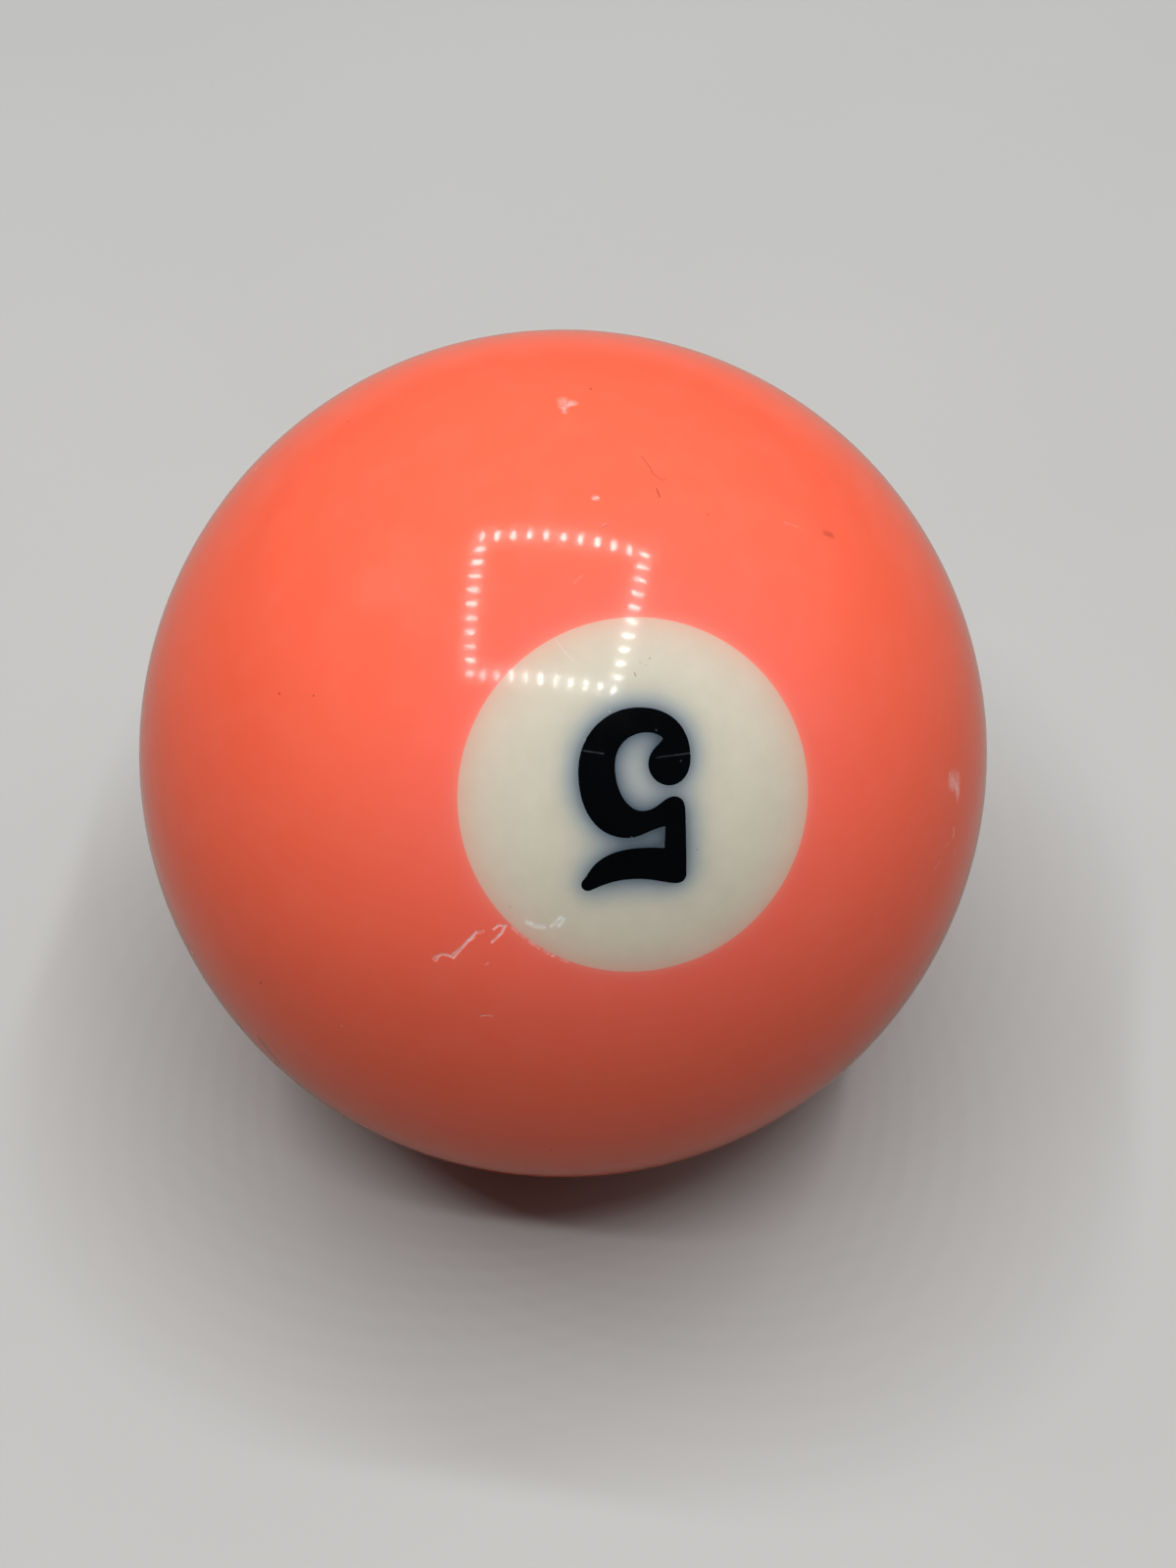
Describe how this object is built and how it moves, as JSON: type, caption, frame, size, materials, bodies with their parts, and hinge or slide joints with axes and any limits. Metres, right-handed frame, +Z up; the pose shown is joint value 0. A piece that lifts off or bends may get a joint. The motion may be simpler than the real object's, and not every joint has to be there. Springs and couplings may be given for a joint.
{
  "type": "numbered pool ball",
  "caption": "Solid-colour numbered pool ball: cast coloured shell over a filled core, with an inlaid number spot at each end of one axis.",
  "frame": {"origin": "centre of the ball", "axes": "+Z up as the ball lies, so it rests on the point at -Z; the number axis lies in the YZ plane, raised 45 degrees from -Y towards +Z, with the front spot at its -Y end; the figure is turned 170 degrees about that axis, so it reads nearly upside down"},
  "size_m": [0.0572, 0.0572, 0.0572],
  "materials": {
    "coloured_resin": "gloss",
    "core_resin": "matte",
    "ivory_resin": "gloss",
    "black_resin": "gloss"
  },
  "bodies": {
    "root": {"coloured_shell": "coloured_resin", "filled_core": "core_resin", "front_number_disc": "ivory_resin", "back_number_disc": "ivory_resin", "front_figure": "black_resin", "back_figure": "black_resin"}
  },
  "joints": []
}
